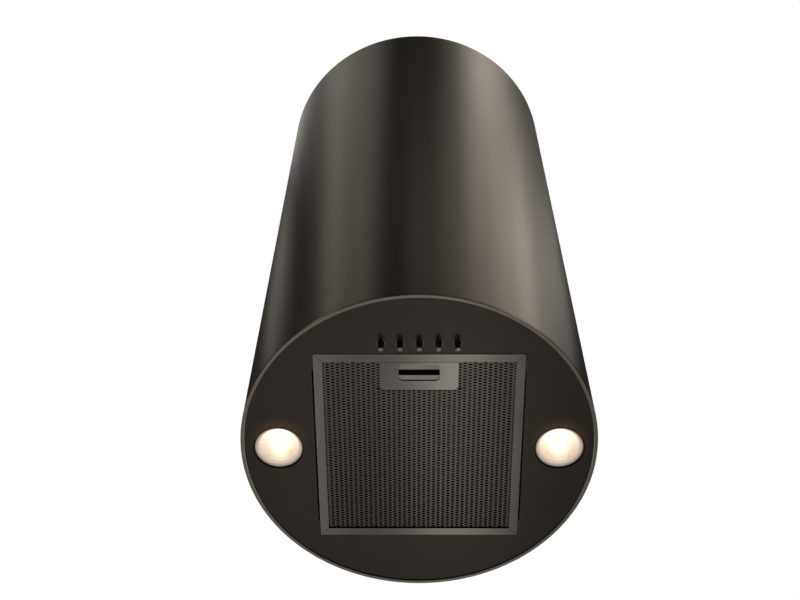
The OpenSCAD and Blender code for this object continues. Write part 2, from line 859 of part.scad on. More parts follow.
// Ring with a sloped lip under the glass and a flange on top of the panel
module lamp_ring(side) {
    seat = glass_r + sliding;
    top = glass_z + glass_t + 2;
    profile = [
        [glass_d / 2, lamp_z + lip_rise], [lamp_r - 0.4, lamp_z], [lamp_r, lamp_z + 0.4], [lamp_r, panel_top],
        [lamp_r + lamp_flange, panel_top], [lamp_r + lamp_flange, panel_top + 1], [lamp_r, panel_top + 1],
        [lamp_r, top], [seat, top], [seat, glass_z], [glass_d / 2, glass_z]
    ];
    color("#b9b4ac") translate([side * lamp_x, 0, 0]) rotate_extrude() polygon(profile);
}

module lamp_glass(side) {
    color("#fff4d8", 0.7) translate([side * lamp_x, 0, glass_z]) cylinder(r = glass_r, h = glass_t);
}

// Dish behind the glass
module lamp_reflector(side) {
    z0 = glass_z + glass_t;
    flare = glass_r - reflector_neck;
    steps = 8;
    dish = [for (i = [0:steps]) let (t = i / steps)
        [reflector_neck + flare * sqrt(1 - t), z0 + reflector_h * t]];
    profile = concat(dish, [for (i = [steps:-1:0]) [dish[i][0] - reflector_t, dish[i][1]]]);
    color("#f4ead0") translate([side * lamp_x, 0, 0]) rotate_extrude() polygon(profile);
}

// Lamp base with its socket
module lamp_socket(side) {
    neck_h = 4;
    prong = [1.2, 6];
    prong_x = 5;
    z0 = glass_z + glass_t + reflector_h;
    color("#e8e6df") translate([side * lamp_x, 0, z0]) {
        cylinder(r = reflector_neck, h = neck_h);
        translate([0, 0, neck_h]) cylinder(r = socket_r, h = socket_h);
        for (s = [-1, 1]) translate([s * prong_x, 0, neck_h + socket_h]) cylinder(r = prong[0], h = prong[1]);
    }
}

module lamp_ring_left() { lamp_ring(-1); }
module lamp_ring_right() { lamp_ring(1); }
module lamp_glass_left() { lamp_glass(-1); }
module lamp_glass_right() { lamp_glass(1); }
module lamp_reflector_left() { lamp_reflector(-1); }
module lamp_reflector_right() { lamp_reflector(1); }
module lamp_socket_left() { lamp_socket(-1); }
module lamp_socket_right() { lamp_socket(1); }

// ---- Filter ----

// Slot for the latch tongue through a wall at the given y
module tongue_slot(y) {
    translate([0, y, 0]) block(tongue_w + 1.2, 4, tongue_z - slot_gap, tongue_t + 2 * slot_gap);
}

// Folded frame with mitred corners, a slot for the tongue and two rear lugs
module filter_frame() {
    inner_w = filter_w - 2 * filter_wall;
    inner_l = filter_l - 2 * filter_wall;
    face_w = filter_w - 2 * filter_flange;
    face_l = filter_l - 2 * filter_flange;
    mitre = 0.25;
    mitre_l = 1.6 * filter_flange;
    color("#6a635c") difference() {
        union() {
            difference() {
                block(filter_w, filter_l, filter_z, filter_t);
                block(inner_w, inner_l, filter_z + filter_wall, filter_t - 2 * filter_wall);
                block(face_w, face_l, filter_z - cut, filter_t + 2 * cut);
            }
            for (s = [-1, 1]) translate([s * lug_x - lug_w / 2, filter_l / 2 - filter_wall, tongue_z])
                cube([lug_w, filter_wall + filter_gap + tongue_reach, tongue_t]);
        }
        for (sx = [-1, 1], sy = [-1, 1]) translate([sx * filter_w / 2, sy * filter_l / 2, filter_z - cut])
            rotate([0, 0, sx * sy > 0 ? 45 : -45]) translate([sx > 0 ? -mitre_l : 0, -mitre / 2, 0])
            cube([mitre_l, mitre, cut + filter_wall / 2]);
        tongue_slot(-filter_l / 2);
    }
}

// Outline of a layer that leaves room for the handle cup
module layer_outline() {
    w = filter_w - 2 * filter_wall - 1;
    l = filter_l - 2 * filter_wall - 1;
    difference() {
        translate([-w / 2, -l / 2]) square([w, l]);
        translate([-handle_w / 2 - layer_gap, -filter_l / 2])
            square([handle_w + 2 * layer_gap, handle_y + handle_l + layer_gap + filter_l / 2]);
    }
}

module filter_mesh() {
    color("#5d564f") translate([0, 0, filter_z + 1.5]) linear_extrude(mesh_t) layer_outline();
}

// Inner layers and upper face of the filter
module filter_pack() {
    z0 = filter_z + 1.5 + mesh_t + 0.3;
    n = 3;
    pitch = (filter_top - filter_wall - 0.2 - z0) / n;
    color("#8d8a85") for (i = [0:n - 1]) translate([0, 0, z0 + i * pitch])
        linear_extrude(pitch - 0.3) layer_outline();
}

// Plate round the finger pocket, with a narrow gap in front of it
module handle_plate() {
    plate_y = handle_y + plate_gap;
    color("#7a736b") translate([0, plate_y, filter_z]) linear_extrude(handle_t) difference() {
        rounded_rear(handle_w, handle_l - plate_gap, 4);
        translate([0, window_y - plate_y]) rounded_rect(window_w, window_l, 4.5);
    }
}

// Dark cup above the plate that holds the latch and closes the finger pocket
module handle_cup() {
    z0 = filter_z + handle_t;
    color("#161412") difference() {
        translate([-handle_w / 2, handle_y, z0]) cube([handle_w, handle_l, cup_top - z0]);
        translate([-handle_w / 2 + cup_wall, handle_y + cup_wall, z0 - cut])
            cube([handle_w - 2 * cup_wall, handle_l - 2 * cup_wall, cup_top - cup_wall - z0 + cut]);
        tongue_slot(handle_y);
    }
}

// Sliding latch: plate with the finger slot, tongue, finger rib and two spring ears
module latch_slider() {
    slot_w = window_w + 1;
    rib_h = 4;
    rib_t = 1.2;
    root = 4;
    color("#85807a") difference() {
        union() {
            translate([-slider_w / 2, slider_y, slider_z]) cube([slider_w, slider_l, slider_t]);
            translate([-tongue_w / 2, tongue_tip, tongue_z])
                cube([tongue_w, slider_y + root - tongue_tip, tongue_t]);
            translate([-slot_w / 2, slot_y + finger_slot, slider_z]) cube([slot_w, rib_t, slider_t + rib_h]);
            for (s = [-1, 1]) translate([s * ear_x - ear_w / 2, slider_y, slider_z])
                cube([ear_w, ear_l, slider_t + 2]);
        }
        translate([-slot_w / 2, slot_y, slider_z - cut]) cube([slot_w, finger_slot, slider_t + 2 * cut]);
    }
}

module latch_spring() {
    y0 = slider_y + ear_l + 0.1;
    y1 = handle_y + handle_l - cup_wall - 0.1;
    color("#c8c8c8") for (s = [-1, 1]) translate([s * ear_x, y0, slider_z + slider_t + 0.2])
        coil_y(spring_r, spring_wire_r, y1 - y0, spring_turns);
}

tube();
tube_tabs();
bottom_ring();
bottom_panel();
panel_studs();
panel_nuts();
base_frame();
post_front_left();
post_front_right();
post_rear_left();
post_rear_right();
ceiling_plate();
frame_screws();
blower_tray();
scroll_wrapper();
scroll_side_front();
scroll_side_rear();
inlet_ring_front();
inlet_ring_rear();
blower_wheel();
motor_shaft();
rotor_core();
motor_housing();
motor_end_cap();
stator();
motor_bearings();
motor_bracket();
motor_mounts();
capacitor();
outlet_collar();
flap_left();
flap_right();
flap_pin();
terminal_box();
terminal_box_lid();
cable_gland();
switch_block();
button_bezels();
button_1();
button_2();
button_3();
button_4();
button_5();
lamp_ring_left();
lamp_ring_right();
lamp_glass_left();
lamp_glass_right();
lamp_reflector_left();
lamp_reflector_right();
lamp_socket_left();
lamp_socket_right();
filter_frame();
filter_mesh();
filter_pack();
handle_plate();
handle_cup();
latch_slider();
latch_spring();
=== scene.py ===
"""Finishes, fine meshes, light and camera for an island range hood."""

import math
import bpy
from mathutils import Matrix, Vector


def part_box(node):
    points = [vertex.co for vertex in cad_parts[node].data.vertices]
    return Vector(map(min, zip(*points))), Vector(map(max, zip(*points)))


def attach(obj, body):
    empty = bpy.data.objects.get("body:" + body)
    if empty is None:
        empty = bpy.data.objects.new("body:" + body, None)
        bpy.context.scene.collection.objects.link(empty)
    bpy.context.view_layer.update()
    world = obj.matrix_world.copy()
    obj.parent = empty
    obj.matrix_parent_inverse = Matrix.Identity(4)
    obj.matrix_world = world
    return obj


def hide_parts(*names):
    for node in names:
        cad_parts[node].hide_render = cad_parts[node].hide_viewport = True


bl_info = {
    "name": "Island Range Hood Looks",
    "version": (1, 0, 0),
    "blender": (4, 5, 0),
    "location": "3D View > Sidebar > Range Hood",
    "description": "Builds the finishes, fine meshes and stage of an island range hood",
    "category": "Object",
}

import bmesh
import bpy
from bpy.props import FloatProperty, FloatVectorProperty, IntProperty, PointerProperty
from mathutils import Matrix, Vector

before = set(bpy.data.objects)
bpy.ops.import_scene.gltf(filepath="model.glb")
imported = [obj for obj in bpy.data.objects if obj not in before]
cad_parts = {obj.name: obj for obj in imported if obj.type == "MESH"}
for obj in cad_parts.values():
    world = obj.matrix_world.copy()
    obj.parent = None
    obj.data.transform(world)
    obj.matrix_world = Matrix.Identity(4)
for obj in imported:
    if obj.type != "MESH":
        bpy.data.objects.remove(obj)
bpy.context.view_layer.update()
MM = 0.001
LAMP_SIDES = ("left", "right")


# ---------------------------------------------------------------- settings


def length(name, description, millimetres, **limits):
    """A size property in metres, given here in millimetres."""
    return FloatProperty(
        name=name,
        description=description,
        default=millimetres * MM,
        unit="LENGTH",
        precision=5,
        **limits,
    )


def colour(name, description, red, green, blue):
    """A colour property in linear values."""
    return FloatVectorProperty(
        name=name,
        description=description,
        default=(red, green, blue),
        size=3,
        min=0.0,
        max=1.0,
        subtype="COLOR",
    )


class HoodFinishes(bpy.types.PropertyGroup):
    """Colours of the metals and plastics."""

    sleeve: colour("Sleeve", "Satin bronze steel of the round sleeve", 0.2245, 0.1905, 0.151)
    rim: colour("Rim", "Steel of the rim round the underside", 0.25, 0.23, 0.2)
    panel: colour("Panel", "Dark steel of the underside panel", 0.062, 0.0525, 0.046)
    filter_frame: colour("Filter frame", "Steel of the filter frame", 0.16, 0.152, 0.138)
    expanded_mesh: colour("Expanded mesh", "Metal of the filter mesh", 0.118, 0.11, 0.099)
    handle: colour("Handle", "Steel of the filter handle", 0.168, 0.158, 0.146)
    button: colour("Buttons", "Steel of the push buttons", 0.3, 0.285, 0.265)
    bezel: colour("Bezels", "Dark steel round the push buttons", 0.2, 0.188, 0.172)
    shadow: colour("Cut walls", "Shaded walls of the handle plate", 0.012, 0.011, 0.01)
    stray: colour("Stray light", "Lamp light spread on the panel", 0.026, 0.012, 0.003)
    lamp_glow: colour("Lamp glow", "Warm light inside the lamps", 1.0, 0.82, 0.55)


class HoodSizes(bpy.types.PropertyGroup):
    """Sizes of the fine meshes."""

    mesh_column: length("Mesh column", "Step between columns of openings", 5.35)
    mesh_row: length("Mesh row", "Step between openings in a column", 3.5)
    opening_long: length("Opening length", "Long axis of one opening", 5.1)
    opening_wide: length("Opening width", "Short axis of one opening", 1.9)
    strand_lift: length("Strand lift", "Height between the two lips of an opening", 0.15)
    strand_thick: length("Strand thickness", "Thickness of the sheet", 0.35)
    button_edge: length("Button edge", "Radius round a button's end", 0.9)
    lamp_rim: length("Lamp rim", "Width of the frosted ring round the lamp glass", 3.0)
    lamp_flange: length("Lamp flange", "Width of the ring's flange above the panel", 5.0)
    dish_wall: length("Reflector wall", "Thickness of the lamp's reflector", 0.5)
    capsule_radius: length("Capsule radius", "Radius of the lamp's quartz capsule", 4.6)
    capsule_up: length("Capsule height", "Height of the capsule's tip above the glass", 9.0)
    turn_segments: IntProperty(
        name="Turned segments",
        description="Segments round a turned piece",
        default=64,
        min=16,
        max=256,
    )


class StageSettings(bpy.types.PropertyGroup):
    """Floor, light and camera."""

    floor_drop: length("Floor drop", "Distance from ceiling to floor", 2800.0)
    camera_x: length("Camera X", "Camera place across the hood", -7.45)
    camera_y: length("Camera Y", "Camera place in front of the hood", -856.4)
    camera_z: length("Camera Z", "Camera place under the ceiling", -1942.3)
    camera_turn: FloatProperty(
        name="Camera turn",
        description="Heading away from straight ahead",
        default=math.radians(-1.052),
        subtype="ANGLE",
    )
    camera_rise: FloatProperty(
        name="Camera rise",
        description="Angle above the horizon",
        default=math.radians(59.677),
        subtype="ANGLE",
    )
    camera_roll: FloatProperty(
        name="Camera roll",
        description="Roll about the line of sight",
        default=math.radians(0.854),
        subtype="ANGLE",
    )
    lens: FloatProperty(
        name="Lens",
        description="Focal length on a 36 mm wide sensor, in millimetres",
        default=58.46,
        min=10.0,
        max=300.0,
    )


# ---------------------------------------------------------------- shader maths


class Value:
    """One shader socket that takes part in Python arithmetic."""

    def __init__(self, finish, socket):
        self.finish = finish
        self.socket = socket

    def _math(self, operation, first, second=0.0):
        return self.finish.node(
            "ShaderNodeMath", {"operation": operation}, {0: first, 1: second}
        )

    def __add__(self, other):
        return self._math("ADD", self, other)

    __radd__ = __add__

    def __mul__(self, other):
        return self._math("MULTIPLY", self, other)

    __rmul__ = __mul__

    def __sub__(self, other):
        return self._math("SUBTRACT", self, other)

    def __rsub__(self, other):
        return self._math("SUBTRACT", other, self)


class Finish:
    """Builds one material's nodes round a Principled shader."""

    def __init__(self, name, material=None):
        self.material = material or bpy.data.materials.new(name)
        self.material.use_nodes = True
        self.tree = self.material.node_tree
        self.shader = self.tree.nodes["Principled BSDF"]

    def node(self, kind, settings=None, sockets=None, output=0):
        """Adds a node: its settings first, then its sockets' values or links."""
        made = self.tree.nodes.new(kind)
        for key, value in (settings or {}).items():
            if key == "stops":
                self._set_stops(made.color_ramp, value)
            else:
                setattr(made, key, value)
        for key, value in (sockets or {}).items():
            self.feed(made.inputs[key], value)
        return Value(self, made.outputs[output])

    def _set_stops(self, ramp, stops):
        while len(ramp.elements) < len(stops):
            ramp.elements.new(1.0)
        for element, (place, shade) in zip(ramp.elements, stops):
            element.position = place
            element.color = (*shade, 1.0)

    def feed(self, socket, value):
        """Links a Value to a socket, or sets the socket to a plain value."""
        if isinstance(value, Value):
            self.tree.links.new(value.socket, socket)
        elif hasattr(socket.default_value, "__len__"):
            wanted = len(socket.default_value)
            socket.default_value = (*value, 1.0) if len(value) < wanted else value
        else:
            socket.default_value = value

    def shade(self, **sockets):
        """Sets the shader's sockets, written with underscores for spaces."""
        for key, value in sockets.items():
            self.feed(self.shader.inputs[key.replace("_", " ")], value)
        return self.material

    def place(self):
        """Object coordinates in metres."""
        return self.node("ShaderNodeTexCoord", output="Object")

    def stretched(self, scale):
        """Object coordinates with each axis scaled."""
        return self.node(
            "ShaderNodeVectorMath",
            {"operation": "MULTIPLY"},
            {0: self.place(), 1: scale},
        )

    def noise(self, scale, detail=2.0, vector=None, roughness=0.5):
        """Noise from 0 to 1, about its middle."""
        sockets = {"Scale": scale, "Detail": detail, "Roughness": roughness}
        sockets["Vector"] = vector or self.place()
        return self.node("ShaderNodeTexNoise", None, sockets)

    def axis(self, name):
        """One object coordinate in metres."""
        return self.node("ShaderNodeSeparateXYZ", None, {0: self.place()}, name)

    def radius_from(self, centre):
        """Distance in metres from an upright line through centre."""
        flat = self.node(
            "ShaderNodeVectorMath",
            {"operation": "MULTIPLY"},
            {0: self.place(), 1: (1.0, 1.0, 0.0)},
        )
        return self.node(
            "ShaderNodeVectorMath",
            {"operation": "DISTANCE"},
            {0: flat, 1: (centre.x, centre.y, 0.0)},
            "Value",
        )

    def tint(self, mask, first, second):
        """Colour from first to second as mask goes from 0 to 1."""
        return self.node(
            "ShaderNodeMix", {"data_type": "RGBA"}, {0: mask, 6: first, 7: second}, 2
        )

    def shades(self, mask, *stops):
        """Colour ramp over a mask."""
        return self.node("ShaderNodeValToRGB", {"stops": stops}, {0: mask})

    def span(self, value, low, high, first=0.0, last=1.0):
        """Maps low..high to first..last, clamped."""
        return self.node(
            "ShaderNodeMapRange",
            {"clamp": True},
            {0: value, 1: low, 2: high, 3: first, 4: last},
        )

    def bump(self, height, depth_mm, strength=1.0):
        """Normal from a height of 0 to 1 that is depth_mm deep."""
        return self.node(
            "ShaderNodeBump",
            None,
            {"Height": height, "Distance": depth_mm * MM, "Strength": strength},
        )


def scaled(shade, factor):
    """A colour made lighter or darker."""
    return tuple(min(1.0, channel * factor) for channel in shade)


# ---------------------------------------------------------------- finishes


def satin_steel(name, shade, roughness, grain=(1.0, 1.0, 0.02)):
    """Coated steel with a fine one-way grain and faint cloudiness."""
    f = Finish(name)
    light, dark = scaled(shade, 1.05), scaled(shade, 0.95)
    lines = f.noise(900.0, 3.0, f.stretched(grain), 0.6)
    clouds = f.noise(5.0, 3.0)
    mask = lines * 0.45 + clouds * 0.55
    tone = f.tint(f.span(mask, 0.3, 0.7), dark, light)
    rough = f.span(lines * 0.6 + clouds * 0.4, 0.3, 0.7, roughness - 0.03, roughness + 0.03)
    return f.shade(
        Base_Color=tone,
        Metallic=1.0,
        Roughness=rough,
        Normal=f.bump(lines, 0.004, 0.5),
    )


def pressed_steel(name, shade, roughness):
    """Plain coated sheet with a very fine tooth."""
    f = Finish(name)
    tooth = f.noise(2600.0, 2.0)
    clouds = f.noise(9.0, 4.0, roughness=0.6)
    tone = f.tint(f.span(clouds, 0.3, 0.7), scaled(shade, 0.95), scaled(shade, 1.06))
    rough = f.span(tooth * 0.5 + clouds * 0.5, 0.3, 0.7, roughness - 0.03, roughness + 0.04)
    return f.shade(
        Base_Color=tone, Metallic=1.0, Roughness=rough, Normal=f.bump(tooth, 0.004, 0.4)
    )


def lamp_lit_panel(name, shade, roughness, lamps, glow):
    """Pressed sheet with the lamps' stray light in front of each hole."""
    material = pressed_steel(name, shade, roughness)
    f = Finish(name, material)
    strays = []
    for centre, radius in lamps:
        ahead = centre - Vector((0.0, 0.28 * radius, 0.0))
        strays.append(f.span(f.radius_from(ahead), 0.75 * radius, 1.15 * radius, 1.0, 0.0))
    stray = strays[0] + strays[1]
    return f.shade(
        Emission_Color=f.tint(stray * stray, (0.0, 0.0, 0.0), glow), Emission_Strength=1.0
    )


def shade_painted_walls(material, low_z, high_z, shade):
    """Paints shade on a sheet's cut walls, from just above its face."""
    f = Finish(material.name, material)
    face = f.shader.inputs["Base Color"].links[0].from_socket
    # Painted shade: the cut walls above the face get a flat dark colour.
    wall = f.span(f.axis("Z"), low_z, high_z)
    return f.shade(Base_Color=f.tint(wall, Value(f, face), shade))


def zinc_sheet(name):
    """Galvanised sheet with its frost-like spangle."""
    f = Finish(name)
    warp = f.noise(40.0, 2.0)
    cells = f.node(
        "ShaderNodeTexVoronoi",
        {"feature": "F1"},
        {"Vector": f.stretched((1.05, 1.05, 1.05)), "Scale": 95.0},
        "Color",
    )
    level = f.node("ShaderNodeSeparateColor", None, {0: cells}, "Red")
    mask = level * 0.75 + warp * 0.25
    tone = f.tint(mask, (0.36, 0.37, 0.38), (0.6, 0.61, 0.62))
    return f.shade(
        Base_Color=tone,
        Metallic=1.0,
        Roughness=f.span(mask, 0.1, 0.9, 0.32, 0.52),
        Normal=f.bump(level, 0.01, 0.3),
    )


def turned_steel(name, shade, roughness):
    """Machined bare steel."""
    f = Finish(name)
    tooth = f.noise(1800.0, 3.0)
    stain = f.noise(60.0, 4.0)
    tone = f.tint(f.span(stain, 0.35, 0.75), shade, scaled(shade, 0.8))
    rough = f.span(tooth, 0.3, 0.7, roughness - 0.04, roughness + 0.06)
    return f.shade(
        Base_Color=tone, Metallic=1.0, Roughness=rough, Normal=f.bump(tooth, 0.003, 0.4)
    )


def cast_enamel(name, shade):
    """Stoved enamel over a casting, with its orange peel."""
    f = Finish(name)
    peel = f.noise(420.0, 2.0)
    dust = f.noise(30.0, 5.0, roughness=0.65)
    tone = f.tint(f.span(dust, 0.45, 0.8), shade, scaled(shade, 1.5))
    return f.shade(
        Base_Color=tone,
        Roughness=f.span(dust, 0.3, 0.8, 0.38, 0.55),
        Normal=f.bump(peel, 0.05, 0.6),
        Coat_Weight=0.2,
        Coat_Roughness=0.25,
    )


def moulded_plastic(name, shade, roughness):
    """Injection moulded plastic with a spark-eroded grain."""
    f = Finish(name)
    grain = f.noise(2200.0, 2.0)
    flow = f.noise(25.0, 3.0)
    tone = f.tint(f.span(flow, 0.35, 0.7), scaled(shade, 0.92), scaled(shade, 1.1))
    return f.shade(
        Base_Color=tone,
        Roughness=f.span(grain, 0.3, 0.7, roughness - 0.05, roughness + 0.08),
        Normal=f.bump(grain, 0.02, 0.5),
    )


def wound_copper(name):
    """Enamelled copper wire, wound in close turns."""
    f = Finish(name)
    turns = f.node(
        "ShaderNodeTexWave",
        {"wave_type": "BANDS", "bands_direction": "Y"},
        {"Vector": f.place(), "Scale": 240.0, "Distortion": 1.5, "Detail": 2.0},
        "Fac",
    )
    varnish = f.noise(80.0, 3.0)
    tone = f.tint(turns, (0.22, 0.055, 0.02), (0.62, 0.2, 0.075))
    tone = f.tint(f.span(varnish, 0.5, 0.8, 0.0, 0.5), tone, (0.1, 0.03, 0.012))
    return f.shade(
        Base_Color=tone,
        Metallic=0.75,
        Roughness=f.span(varnish, 0.3, 0.7, 0.3, 0.45),
        Normal=f.bump(turns, 0.2, 0.8),
    )


def soft_rubber(name):
    """Matt black rubber with bloom."""
    f = Finish(name)
    bloom = f.noise(70.0, 4.0, roughness=0.65)
    grain = f.noise(1500.0, 2.0)
    tone = f.tint(f.span(bloom, 0.45, 0.8), (0.018, 0.017, 0.016), (0.05, 0.048, 0.046))
    return f.shade(
        Base_Color=tone,
        Roughness=f.span(bloom, 0.3, 0.8, 0.68, 0.85),
        Normal=f.bump(grain, 0.03, 0.5),
    )


def fired_ceramic(name):
    """Steatite lamp socket, cream and slightly speckled."""
    f = Finish(name)
    speck = f.noise(1400.0, 2.0)
    scorch = f.noise(45.0, 3.0)
    tone = f.tint(f.span(speck, 0.62, 0.7), (0.72, 0.68, 0.6), (0.42, 0.38, 0.32))
    tone = f.tint(f.span(scorch, 0.5, 0.8, 0.0, 0.35), tone, (0.45, 0.34, 0.22))
    return f.shade(
        Base_Color=tone,
        Roughness=f.span(scorch, 0.3, 0.7, 0.4, 0.55),
        Normal=f.bump(speck, 0.02, 0.4),
    )


def layered_foil(name):
    """Stacked layers of fine foil mesh inside the filter."""
    f = Finish(name)
    cells = f.node(
        "ShaderNodeTexVoronoi",
        {"feature": "DISTANCE_TO_EDGE"},
        {"Vector": f.stretched((1.0, 1.6, 1.0)), "Scale": 420.0},
        "Distance",
    )
    strand = f.span(cells, 0.02, 0.16, 1.0, 0.0)
    tone = f.tint(strand, (0.003, 0.003, 0.003), (0.02, 0.018, 0.016))
    return f.shade(
        Base_Color=tone,
        Metallic=f.span(strand, 0.0, 1.0, 0.2, 0.9),
        Roughness=f.span(strand, 0.0, 1.0, 0.8, 0.5),
        Normal=f.bump(strand, 0.4, 0.8),
    )


def frosted_ring(name, centre, inner_radius, outer_radius):
    """Satin lamp ring with a painted glow as if lit from within, most at its rear, and painted
    shade beyond its face.
    """
    f = Finish(name)
    frost = f.noise(700.0, 3.0)
    reach = f.radius_from(centre)
    rearward = f.span(f.axis("Y"), centre.y - outer_radius, centre.y + outer_radius)
    # Beyond the ring's face, the flange in the gap gets painted shade as a near black base
    # colour.
    face = f.span(reach, outer_radius - 0.2 * MM, outer_radius - 0.05 * MM, 1.0, 0.0)
    inward = f.span(reach, inner_radius, outer_radius - 0.6 * MM, 1.0, 0.0)
    # Painted glow, lighter inward and towards the rear.
    light = f.shades(
        inward * 0.75 + rearward * 0.3 + (frost - 0.5) * 0.1,
        (0.0, (0.14, 0.115, 0.09)),
        (0.3, (0.2, 0.168, 0.138)),
        (0.65, (0.34, 0.29, 0.24)),
        (1.0, (0.5, 0.42, 0.35)),
    )
    return f.shade(
        Base_Color=f.tint(face, (0.012, 0.01, 0.008), (0.34, 0.31, 0.28)),
        Roughness=f.span(frost, 0.3, 0.7, 0.42, 0.55),
        Normal=f.bump(frost, 0.03, 0.4),
        Emission_Color=f.tint(face, (0.0, 0.0, 0.0), light),
        Emission_Strength=1.0,
    )


def lit_reflector(name, centre, mouth, mouth_z, neck_z):
    """Aluminised reflector lit from inside: white in its depth, rose at its sides."""
    f = Finish(name)
    ripple = f.noise(260.0, 2.0)
    streaks = f.noise(210.0, 1.0, f.stretched((1.0, 0.25, 0.1)))
    depth = f.span(f.axis("Z"), mouth_z, neck_z)
    aside = f.node("ShaderNodeMath", {"operation": "ABSOLUTE"}, {0: f.axis("X") - centre.x})
    middle = f.span(aside, 0.0, mouth, 1.0, 0.0)
    glow = f.shades(
        depth * 0.55 + middle * 0.45 + f.span(streaks, 0.5, 0.66, 0.0, 0.1),
        (0.0, (0.3, 0.222, 0.178)),
        (0.3, (0.37, 0.278, 0.222)),
        (0.5, (0.47, 0.385, 0.28)),
        (0.7, (0.72, 0.64, 0.46)),
        (0.85, (1.0, 0.97, 0.86)),
    )
    return f.shade(
        Base_Color=f.tint(depth, (0.66, 0.62, 0.57), (0.74, 0.7, 0.62)),
        Metallic=0.35,
        Roughness=f.span(ripple, 0.3, 0.7, 0.26, 0.36),
        Normal=f.bump(ripple, 0.02, 0.4),
        Emission_Color=glow,
        Emission_Strength=0.9,
    )


def lamp_cover_glass(name, centre, clear_radius):
    """Clear cover glass, ground at its rim, with a painted glow in the ground rim."""
    f = Finish(name)
    reach = f.radius_from(centre)
    frost = f.noise(900.0, 2.0)
    rim = f.span(reach + (frost - 0.5) * (0.8 * MM), clear_radius - 1.6 * MM, clear_radius)
    return f.shade(
        Base_Color=f.tint(frost, (0.5, 0.47, 0.43), (0.62, 0.58, 0.53)),
        Alpha=f.span(rim, 0.0, 1.0, 0.04, 0.75),
        Roughness=f.span(rim, 0.0, 1.0, 0.06, 0.5),
        Normal=f.bump(frost, 0.01, 0.2),
        # Painted glow in the ground rim, as if lit by the lamp behind it.
        Emission_Color=f.tint(rim, (0.0, 0.0, 0.0), (0.44, 0.37, 0.31)),
        Emission_Strength=1.0,
    )


def glowing_quartz(name, glow, tip_z):
    """Frosted quartz capsule with its coil alight, dimmer towards its tip."""
    f = Finish(name)
    haze = f.noise(500.0, 2.0)
    lit = f.span(f.axis("Z") + haze * (2.0 * MM), tip_z, tip_z + 9.0 * MM)
    return f.shade(
        Base_Color=f.tint(haze, (0.8, 0.78, 0.72), (0.9, 0.88, 0.84)),
        Roughness=f.span(haze, 0.3, 0.7, 0.25, 0.35),
        Emission_Color=f.tint(lit, scaled(glow, 0.5), (1.0, 0.97, 0.9)),
        Emission_Strength=1.7,
    )


# ---------------------------------------------------------------- mesh helpers


def add_object(name, vertices, faces, material, sharp_degrees=35.0):
    """A mesh object, smooth except at edges sharper than sharp_degrees."""
    mesh = bpy.data.meshes.new(name)
    mesh.from_pydata(vertices, [], faces)
    mesh.validate()
    made = bpy.data.objects.new(name, mesh)
    bpy.context.collection.objects.link(made)
    mesh.materials.append(material)
    work = bmesh.new()
    work.from_mesh(mesh)
    bmesh.ops.recalc_face_normals(work, faces=work.faces)
    work.to_mesh(mesh)
    work.free()
    mesh.shade_smooth()
    mesh.set_sharp_from_angle(angle=math.radians(sharp_degrees))
    return made


def arc(centre_r, centre_z, radius, start, end, steps):
    """Points of an arc in a turned profile, angles in degrees from the radial axis."""
    points = []
    for step in range(steps + 1):
        turn = math.radians(start + (end - start) * step / steps)
        points.append((centre_r + radius * math.cos(turn), centre_z + radius * math.sin(turn)))
    return points


def turned(name, profile, centre, material, segments, closed=False, sharp_degrees=35.0):
    """A turned piece: (radius, z) points spun round an upright axis through centre."""
    vertices = []
    for radius, z in profile:
        for step in range(segments):
            turn = math.tau * step / segments
            vertices.append(
                (centre.x + radius * math.cos(turn), centre.y + radius * math.sin(turn), z)
            )
    rows = len(profile)
    faces = []
    for row in range(rows if closed else rows - 1):
        below, above = row * segments, (row + 1) % rows * segments
        for step in range(segments):
            after = (step + 1) % segments
            faces.append((below + step, below + after, above + after, above + step))
    if not closed:
        faces.append(tuple(range(segments)))
        faces.append(tuple(range((rows - 1) * segments, rows * segments)))
    return add_object(name, vertices, faces, material, sharp_degrees)


def lamp_places():
    """Middle and radius of each lamp ring's flange."""
    places = []
    for side in LAMP_SIDES:
        low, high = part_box(f"lamp_ring_{side}")
        places.append(((low + high) / 2, (high.x - low.x) / 2))
    return places


def centre_of(node):
    """Middle of a CAD node's box."""
    low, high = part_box(node)
    return (low + high) / 2


# ---------------------------------------------------------------- filter mesh


class SheetWelder:
    """Collects vertices of a sheet and shares those in the same place."""

    def __init__(self):
        self.vertices = []
        self.known = {}

    def vertex(self, x, y, z):
        key = (round(x, 6), round(y, 6), round(z, 6))
        if key not in self.known:
            self.known[key] = len(self.vertices)
            self.vertices.append((x, y, z))
        return self.known[key]


HANDLE_GAP = 0.3 * MM
EDGE_MARGIN = 0.35 * MM

# Eight points round an opening and round its cell, in half widths and half heights
OPENING_SHAPE = (
    (-1.0, 0.0),
    (-0.58, 0.82),
    (0.0, 1.0),
    (0.58, 0.82),
    (1.0, 0.0),
    (0.58, -0.82),
    (0.0, -1.0),
    (-0.58, -0.82),
)
CELL_SHAPE = (
    (-1.0, 0.0),
    (-1.0, 1.0),
    (0.0, 1.0),
    (1.0, 1.0),
    (1.0, 0.0),
    (1.0, -1.0),
    (0.0, -1.0),
    (-1.0, -1.0),
)


def mesh_outline():
    """The sheet's corners and the far corner of its cut-out round the handle."""
    low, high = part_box("filter_mesh")
    plate_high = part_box("handle_plate")[1]
    return low, high, plate_high.x + HANDLE_GAP, plate_high.y + HANDLE_GAP


def kept_on_sheet(x, y, outline, clip, margin):
    """Moves a point back onto the sheet and out of the handle's cut-out."""
    low, high, cut_x, cut_y = outline
    y = min(max(y, low.y + margin), high.y - margin)
    if clip == "behind":
        y = max(y, cut_y + margin)
    elif clip == "beside":
        x = math.copysign(max(abs(x), cut_x + margin), x)
    return x, y


